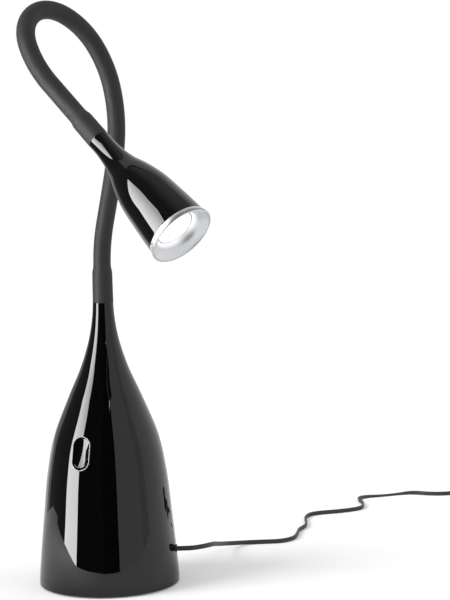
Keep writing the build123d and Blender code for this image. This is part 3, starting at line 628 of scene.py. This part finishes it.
def skinRows():
    # height, radius and lean of the base's outer skin
    points = smoothOutline(baseRows, 0.0, 0.5)
    leans = [atan2(r0 - r1, z1 - z0) for (r0, z0), (r1, z1) in zip(points, points[1:])]
    leans = [(a + b) / 2 for a, b in zip([leans[0], *leans], [*leans, leans[-1]])]
    return [(z, r, lean) for (r, z), lean in zip(points, leans)]


skin = skinRows()


def surfaceAt(height):
    # the base's radius and lean at a height
    index = min(max(bisect(skin, (height,)) - 1, 0), len(skin) - 2)
    (z0, r0, lean0), (z1, r1, lean1) = skin[index:index + 2]
    share = min(max((height - z0) / (z1 - z0), 0), 1)
    return r0 + (r1 - r0) * share, lean0 + (lean1 - lean0) * share


def switchPlace():
    # X along the width, Y up along the shell, Z out of it
    radius, lean = surfaceAt(switch["height"])
    azimuth = radians(switch["azimuth"])
    out = Vector((cos(azimuth), sin(azimuth), 0))
    side = Vector((-out.y, out.x, 0))
    normal = out * cos(lean) + Vector((0, 0, sin(lean)))
    up = normal.cross(side)
    turn = Matrix((side, up, normal)).transposed().to_4x4()
    spot = out * radius * millimetre + Vector((0, 0, switch["height"] * millimetre))
    return Matrix.Translation(spot) @ turn


def ovalPoints(length, width, count=96):
    # a slot's outline in the XY plane, long along Y
    radius, reach = width / 2, (length - width) / 2
    points = []
    for i in range(count):
        a = 2 * pi * (i + 0.5) / count
        x, y = radius * cos(a), radius * sin(a)
        points.append((x, y + (reach if y > 0 else -reach)))
    return points


def baseProfile():
    foot = base["footEdge"]
    outer = smoothOutline(baseRows, 0.0, 1.0)
    inner = smoothOutline(baseRows, base["wall"], 2.5)
    plugBottom = bodyHeight - base["plug"]
    top = bodyHeight
    profile = rounded((outer[0][0], foot), (inner[0][0], foot), outer[0], 0.8)
    profile += outer[:-1]
    profile += rounded((outer[-1][0], top), outer[-2], (base["bore"], top), 0.25, 3)
    profile += [(base["bore"], top), (base["bore"], plugBottom)]
    under = [(r, z) for r, z in inner if z < plugBottom]
    profile += [(under[-1][0] - 0.1, plugBottom)] + list(reversed(under)) + [(inner[0][0], foot)]
    return profile


def outwardNormals(piece):
    # the outer skin shades as its outline says, also beside the cuts; the rest as usual
    near, alike = 0.12, 0.96
    mesh = piece.data
    normals = []
    for face in mesh.polygons:
        onSkirt = face.center.z / millimetre < skin[0][0]
        for corner in face.loop_indices:
            co = mesh.vertices[mesh.loops[corner].vertex_index].co / millimetre
            radius, lean = surfaceAt(co.z)
            if onSkirt:
                lean = 0
            outward = Vector((co.x, co.y, 0)).normalized() * cos(lean) + Vector((0, 0, sin(lean)))
            onSkin = abs(hypot(co.x, co.y) - radius) < near and face.normal.dot(outward) > alike
            normals.append(outward if onSkin else Vector())
    mesh.normals_split_custom_set(normals)


def makeBaseShell():
    shell = turnedPiece("baseShell", baseProfile(), segments=160)
    place = switchPlace()
    oval = ovalPoints(switch["length"] - switch["openingLap"], switch["width"] - switch["openingLap"])
    rings = [[place @ point(x, y, z) for x, y in oval] for z in (switch["openingFrom"], switch["openingTo"])]
    opening = meshPiece("opening", rings, caps=(True, True), smooth=False)
    radius, lean = surfaceAt(cordHole["height"])
    azimuth = radians(cordHole["azimuth"])
    out = Vector((cos(azimuth), sin(azimuth), 0))
    side = Vector((-out.y, out.x, 0))
    rings = []
    for reach in (radius - cordHole["cut"], radius + cordHole["cut"]):
        centre = out * reach * millimetre + Vector((0, 0, cordHole["height"] * millimetre))
        rings.append([
            centre + (side * cos(turn) + Vector((0, 0, 1)) * sin(turn)) * cordHole["seat"] * millimetre
            for turn in [2 * pi * i / cordHole["sides"] for i in range(cordHole["sides"])]
        ])
    hole = meshPiece("hole", rings, caps=(True, True), smooth=False)
    cutBy(shell, opening, hole)
    sharpEdges(shell)
    outwardNormals(shell)
    worn(shell, finishes["black_gloss"])
    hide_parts("base_shell")
    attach(shell, "base")


makeBaseShell()
print("base shell made")


def makeBezel():
    place = switchPlace()
    half = switch["band"] / 2
    section = [(-half, -switch["depth"])]
    section += rounded((-half, switch["proud"]), (-half, -1), (half, switch["proud"]), 0.48, 6)
    section += rounded((half, switch["proud"]), (-half, switch["proud"]), (half, -1), 0.48, 6)
    section += [(half, -switch["depth"])]
    rings = []
    for across, height in section:
        length = switch["length"] - switch["band"] + 2 * across
        width = switch["width"] - switch["band"] + 2 * across
        rings.append([place @ point(x, y, height) for x, y in ovalPoints(length, width)])
    bezel = meshPiece("switchBezel", rings, looped=True)
    sharpEdges(bezel, 50)
    worn(bezel, finishes["chrome_trim"])
    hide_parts("switch_bezel")
    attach(bezel, "base")


def makeRocker():
    # an oval button dished like a spoon, about its pivot, leaning to its on side
    length = switch["length"] - 2 * switch["band"] - 4 * switch["gap"]
    width = switch["width"] - 2 * switch["band"] - 2 * switch["gap"]
    place = switchPlace() @ Matrix.Translation(point(0, 0, -switch["pivotDepth"]))
    place = place @ Matrix.Rotation(radians(-switch["lean"]), 4, "X")
    rings = []

    def addRing(share, height):
        oval = ovalPoints(length, width)
        rings.append([place @ point(x * share, y * share, height) for x, y in oval])

    for share in (0.01, 0.12, 0.24, 0.36, 0.48, 0.6, 0.7, 0.8, 0.88, 0.94):
        addRing(share, switch["pivotDepth"] - switch["dish"] * (1 - share**2))
    for share, sink in ((0.97, 0.08), (0.99, 0.2), (1.0, 0.45)):
        addRing(share, switch["pivotDepth"] - sink)
    addRing(1.0, switch["pivotDepth"] - switch["thick"])
    rocker = meshPiece("switchRocker", rings, caps=(True, True))
    sharpEdges(rocker, 50)
    worn(rocker, finishes["rocker_black"])
    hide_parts("switch_rocker")
    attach(rocker, "rocker")


makeBezel()
makeRocker()
print("switch made")


def sleeveRadius(length):
    # the tube's radius at a length from the first pivot: thicker over both cuffs
    end = len(neck["bends"]) * neck["section"]
    into = max(-length, length - end)
    if into <= 0:
        return neck["sleeve"]
    share = min(into / neck["taper"], 1.0)
    blend = share * share * (3 - 2 * share)
    root = baseRows[-1][0] if length < 0 else neck["headRoot"]
    total = neck["lowerCuff"] if length < 0 else neck["upperCuff"]
    straight = max(0.0, (into - neck["taper"]) / (total - neck["taper"]))
    return neck["sleeve"] + (neck["cuff"] - neck["sleeve"]) * blend + (root - neck["cuff"]) * straight


def sleevePiece(name, start, end, step=2.1, around=56):
    count = max(3, round((end - start) / step))
    places = [start + (end - start) * i / count for i in range(count + 1)]
    along = len(neck["bends"]) * neck["section"]
    skinRing = [(at, sleeveRadius(at)) for at in places]
    boreRing = [(at, neck["bore"] if 0 <= at <= along else neck["cuffBore"]) for at in reversed(places)]
    rings = []
    for at, radius in skinRing + boreRing:
        place = neckPlace(at)
        rings.append([
            place @ point(radius * cos(2 * pi * k / around), radius * sin(2 * pi * k / around), 0)
            for k in range(around)
        ])
    piece = meshPiece(name, rings, looped=True)
    sharpEdges(piece, 40)
    return worn(piece, finishes["neck_silicone"])


def cuffPiece(name, start, end, node):
    piece = sleevePiece(name, start, end)
    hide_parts(node)
    return piece


def makeSleeves():
    # one tube in eleven lengths, each centred on one pivot
    count = len(neck["bends"])
    half = neck["section"] / 2
    overlap = neck["cuffLap"]
    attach(cuffPiece("lowerCuff", -neck["lowerCuff"], -overlap, "lower_cuff"), "base")
    total = count * neck["section"]
    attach(cuffPiece("upperCuff", total + overlap, total + neck["upperCuff"], "upper_cuff"), "head")
    for number in range(count + 1):
        pivot = number * neck["section"]
        start = pivot - (half if number else overlap)
        end = pivot + (half if number < count else overlap)
        piece = sleevePiece(f"neckSleeve{number + 1:02d}", start, end)
        if number < count:
            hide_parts(f"neck_sleeve_{number + 1:02d}")
        spread = neck["cuffLap"] if number in (0, count) else neck["bendReach"]
        low = neckPlace(pivot - spread).translation
        high = neckPlace(pivot + spread).translation
        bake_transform(piece)


makeSleeves()
print("neck made")


head = {
    "neckRadius": 7.2,
    "bands": [
        (7.65, 14.0), (9.95, 12.0), (13.9, 11.6), (16.8, 11.4), (18.9, 17.0), (20.6, 21.2),
    ],
    "wall": 2.0,
    "plug": 30.0,
    "bore": 5.05,
}
mouth = {
    "ringLength": 4.3,
    "lip": 21.65,
    "band": 20.9,
    "spigot": 18.4,
    "spigotLength": 8.2,
    "bowl": 15.0,
    "bowlDepth": 5.0,
    "sight": 13.0,
    "lens": 13.5,
    "setback": 8.0,
    "lit": 12.0,
    "lensThick": 2.5,
    "flange": 2.0,
    "fit": 0.1,
    "lipWidth": 1.1,
    "lipInner": 0.25,  # how far the lip's inner and outer corners lie behind its front
    "lipOuter": 0.8,
    "lipWays": ((0.2, 1), (-0.25, -1)),  # the directions in which the lip's curve starts and ends
    "bowlWays": ((-0.9, -1), (-0.5, -0.9)),  # and the bowl's
    "bowlRound": 1.6,
    "lensSkirt": 1.3,
    "glow": 1.15,
    # inwards from the lip: its painted dark edge, a painted dark line from and to, and a smoother band
    "lipEdges": (0.3, 1.2, 0.85, 1.0),
}
headRows = outlineRows(head["neckRadius"], 0, head["bands"])
headLength = headRows[-1][1]
ringFront = headLength + mouth["ringLength"]
spigotEnd = headLength - mouth["spigotLength"]


def makeHeadShell():
    outer = smoothOutline(headRows, 0.0, 0.8)
    inner = [(r, z) for r, z in smoothOutline(headRows, head["wall"], 2.0) if head["plug"] < z]
    step = mouth["spigot"] + mouth["fit"]
    ledge = spigotEnd - mouth["flange"]
    profile = rounded((outer[0][0], 0), (head["bore"], 0), outer[1], 0.25, 3)
    profile += outer[1:-1]
    profile += rounded((outer[-1][0], headLength), outer[-2], (step, headLength), 0.35, 4)
    profile += [(step, headLength), (step, ledge)]
    profile += [(r, z) for r, z in reversed(inner) if z < ledge]
    profile += [(inner[0][0] - 0.2, head["plug"]), (head["bore"], head["plug"]), (head["bore"], 0)]
    shell = turnedPiece("headShell", profile, headPlace, 144)
    sharpEdges(shell, 35)
    worn(shell, finishes["black_gloss"])
    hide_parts("head_shell")
    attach(shell, "head")


def curved(start, end, startWay, endWay, steps=10):
    # points of a smooth curve between two points of an outline
    start, end = Vector(start), Vector(end)
    size = (end - start).length
    first, last = Vector(startWay).normalized() * size, Vector(endWay).normalized() * size
    points = []
    for i in range(steps + 1):
        t = i / steps
        p = start * (2 * t**3 - 3 * t**2 + 1) + first * (t**3 - 2 * t**2 + t)
        p += end * (3 * t**2 - 2 * t**3) + last * (t**3 - t**2)
        points.append((p.x, p.y))
    return points


def makeReflector():
    lip, front = mouth["lip"], ringFront
    bowlBottom = front - mouth["bowlDepth"]
    lensFront = front - mouth["setback"]
    lipOuter = (lip, front - mouth["lipOuter"])
    lipInner = (lip - mouth["lipWidth"], front - mouth["lipInner"])
    profile = [(mouth["spigot"], spigotEnd), (mouth["spigot"], headLength)]
    profile += rounded((mouth["band"], headLength), (mouth["spigot"], headLength), lipOuter, 0.3, 3)
    profile += curved(lipOuter, lipInner, *mouth["lipWays"], 8)
    bowl = curved(lipInner, (mouth["bowl"], bowlBottom), *mouth["bowlWays"], 16)[1:]
    profile += bowl[:-3] + rounded(bowl[-1], bowl[-4], (mouth["sight"], lensFront), mouth["bowlRound"], 6)
    profile += [(mouth["sight"], lensFront), (mouth["lens"] + mouth["fit"], lensFront)]
    profile += [(mouth["lens"] + mouth["fit"], spigotEnd)]
    ring = turnedPiece("reflectorRing", profile, headPlace, 144)
    sharpEdges(ring, 40)
    worn(ring, reflectorSilver("satinSilver"))
    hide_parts("reflector_ring")
    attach(ring, "head")


def makeLens():
    front = ringFront - mouth["setback"]
    back = front - mouth["lensThick"]
    radius = mouth["lens"]
    profile = [(0.0, front)] + [(radius * i / 12, front) for i in range(1, 12)]
    profile += rounded((radius, front), (0, front), (radius, back), 0.3, 3)
    bore = radius - mouth["lensSkirt"]
    rim = spigotEnd + mouth["fit"]
    profile += [(radius, rim), (bore, rim), (bore, back), (0.0, back)]
    glass = turnedPiece("lensGlass", profile, headPlace, 96, closed=False)
    sharpEdges(glass, 40)
    worn(glass, litLens("litLens"))
    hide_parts("lens")
    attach(glass, "head")


makeHeadShell()
makeReflector()
makeLens()
print("head made")

# the solids that stay as they are get their finishes
for subpart in frame["record"]["subparts"]:
    node = frame["nodes"][subpart["node"]]
    slotName = subpart["material_slot"]
    if not node.hide_render and slotName in finishes:
        node.data.materials.clear()
        node.data.materials.append(finishes[slotName])
        for face in node.data.polygons:
            face.use_smooth = True
        node.data.set_sharp_from_angle(angle=radians(30))

studio = {
    "ambient": 0.62,
    "floorColour": 0.8,
    "floorGlow": 0.17,
    "tableEdge": [  # where the table ends for whatever a gloss reflects
        (-0.2, 0.285), (-0.438, 0.268), (-0.59, 0.232), (-0.718, 0.042), (-0.69, -0.139),
        (-0.598, -0.218), (-0.439, -0.252), (-0.256, -0.235), (-0.182, -0.271), (-0.101, -0.307),
        (0.037, -0.313), (0.35, -0.31),
    ],
    "tableGlare": (-0.42, -0.2),
    "glare": 1.4,  # at its middle
    "glareReach": (0.05, 0.4),  # it fades between these distances
    "apron": 4.0,
    # the corners of a ring of upright cards: degrees round the lamp from the camera's side,
    # distance, and height of their top
    "corners": [
        (-180, 1.0, 1.15), (-138, 1.0, 1.15), (-127, 1.0, 1.15), (-75.5, 0.71, 0.86), (-51.5, 1.35, 1.44),
        (-5, 1.0, 1.15), (20.5, 1.0, 1.15), (64, 1.0, 1.15), (78, 1.0, 1.15), (180, 1.0, 1.15),
    ],
    "cornerStep": 3,  # degrees between a card's own corners
    # each card's glow, its bottom, the glow above it up to the ceiling, and what its glow is
    # multiplied by towards its top
    "cards": [
        (0.5, 0.08, 0.5, 1), (0.5, -0.5, 0.5, 1), (0.13, -0.5, 0.13, 1), (14.5, -0.5, 0.13, 0.53),
        (0.03, -0.5, 0.08, 1), (0.01, -0.5, 0.08, 1), (0.83, -0.5, 0.6, 1), (0.68, -0.5, 0.6, 1),
        (0.9, -0.5, 0.75, 1),
    ],
    "fading": (0.38, 1.12),  # the heights between which that happens
    "ceiling": {
        "height": 1.46,
        "seam": ((0.45, 0.43), (-0.2, 0.16)),  # a line between its front and back halves
        "reach": 3.0,  # both ways along the seam
        # from and to across the seam, the glow, what it is multiplied by, and from where to where
        # along "slope"
        "parts": [
            (-3.0, -0.025, 0.13, 3.15, (-0.545, -0.05)), (-0.025, 0.025, 0.1, 1, (0, 1)),
            (0.025, 3.0, 0.65, 1, (0, 1)),
        ],
        "slope": (0.707, 0.707, 0),
    },
    "sun": {"azimuth": -68, "elevation": 36, "spread": 34, "strength": 2.3},
    "fill": {"azimuth": 75, "elevation": 40, "spread": 60, "strength": 0.5},
}


def rayMask(g, kind):
    # 1 for rays of one kind
    return g.node("ShaderNodeLightPath", output=f"Is {kind} Ray")


def makeWorld():
    world = bpy.data.worlds.new("studio")
    scene.world = world
    g = Graph("studio", world)
    # white for what the camera, a gloss or a clear surface sees directly
    seen = rayMask(g, "Camera").most(rayMask(g, "Glossy")).most(rayMask(g, "Transmission"))
    plain = g.node("ShaderNodeBackground", None, {"Color": (1, 1, 1), "Strength": studio["ambient"]})
    white = g.node("ShaderNodeBackground", None, {"Color": (1, 1, 1), "Strength": 1.0})
    g.finish(g.node("ShaderNodeMixShader", None, {0: seen, 1: plain, 2: white}))


def floorPaper():
    # plain paper that glows a little for the camera, and has a glare on its left in a gloss
    g = Graph("floorPaper")
    grey = studio["floorColour"]
    paper = g.node("ShaderNodeBsdfDiffuse", None, {"Color": (grey, grey, grey)})
    away = g.vectors("DISTANCE", g.place(), (*studio["tableGlare"], 0), "Value")
    glare = g.range(away, studio["glare"], 0.0, *studio["glareReach"])
    glow = rayMask(g, "Camera") * studio["floorGlow"] + rayMask(g, "Glossy") * glare
    light = g.node("ShaderNodeEmission", None, {"Color": glow, "Strength": 1.0})
    return g.finish(g.node("ShaderNodeAddShader", None, {0: paper, 1: light}))


def floorPart(name, corners, material):
    mesh = bpy.data.meshes.new(name)
    mesh.from_pydata([(x, y, 0) for x, y in corners], [], [tuple(range(len(corners)))])
    part = bpy.data.objects.new(name, mesh)
    scene.collection.objects.link(part)
    mesh.materials.append(material)
    return part


def makeFloor():
    paper = floorPaper()
    far, edge = studio["apron"], studio["tableEdge"]
    table = [*edge, (far, edge[-1][1]), (far, far), (edge[0][0], far)]
    rest = [(far, edge[-1][1]), *reversed(edge), (edge[0][0], far), (-far, far), (-far, -far), (far, -far)]
    floorPart("table", table, paper)
    apron = floorPart("apron", rest, paper)
    apron.visible_glossy = False


def onlyForGloss(card, name, glow, axis, places, fade):
    # a glow that goes from glow to glow times fade between two places along an axis
    g = Graph(name)
    along = g.vectors("DOT_PRODUCT", g.place(), axis, "Value")
    light = g.range(along, glow, glow * fade, *places)
    shine = g.node("ShaderNodeEmission", None, {"Color": light, "Strength": 1.0})
    card.data.materials.append(g.finish(shine))
    card.visible_camera = False
    card.visible_diffuse = False
    card.visible_shadow = False
    card.visible_transmission = False


def cardRow(name, first, last, bottom, top, glow, fade=1):
    # an upright curved card from one corner to the next; a bottom or top of None is the corners' height
    count = max(2, round((last[0] - first[0]) / studio["cornerStep"]))
    rings = [[], []]
    for i in range(count + 1):
        azimuth, distance, edge = [a + (b - a) * i / count for a, b in zip(first, last)]
        out = Vector((sin(radians(azimuth)), -cos(radians(azimuth)), 0)) * distance
        rings[0].append(out + Vector((0, 0, edge if bottom is None else bottom)))
        rings[1].append(out + Vector((0, 0, edge if top is None else top)))
    onlyForGloss(meshPiece(name, rings, closed=False), name, glow, (0, 0, 1), studio["fading"], fade)


def makeCards():
    # a ring of cards for a gloss to reflect; most reach below the table
    corners = studio["corners"]
    for number, (glow, bottom, above, fade) in enumerate(studio["cards"]):
        first, last = corners[number], corners[number + 1]
        cardRow(f"card{number + 1}", first, last, bottom, None, glow, fade)
        cardRow(f"upperCard{number + 1}", first, last, None, studio["ceiling"]["height"], above)


def makeCeiling():
    # flat parts side by side along a seam
    ceiling = studio["ceiling"]
    start, end = [Vector((x, y, ceiling["height"])) for x, y in ceiling["seam"]]
    along = (start - end).normalized()
    across = Vector((0, 0, 1)).cross(along)
    for number, (low, high, glow, fade, places) in enumerate(ceiling["parts"]):
        reaches = (-ceiling["reach"], ceiling["reach"])
        sheet = [[start + across * side + along * reach for reach in reaches] for side in (low, high)]
        name = f"ceiling{number + 1}"
        onlyForGloss(meshPiece(name, sheet, closed=False), name, glow, ceiling["slope"], places, fade)


def makeSun(name, azimuth, elevation, spread, strength):
    data = bpy.data.lights.new(name, "SUN")
    data.angle = radians(spread)
    data.energy = strength
    lamp = bpy.data.objects.new(name, data)
    scene.collection.objects.link(lamp)
    a, e = radians(azimuth), radians(elevation)
    toLamp = Vector((sin(a) * cos(e), -cos(a) * cos(e), sin(e)))
    lamp.rotation_euler = toLamp.to_track_quat("Z", "Y").to_euler()
    lamp.visible_glossy = False
    lamp.visible_camera = False


makeWorld()
makeFloor()
makeCards()
makeCeiling()
makeSun("sun", **studio["sun"])
makeSun("fill", **studio["fill"])
scene.view_settings.view_transform = "Standard"
print("studio made")
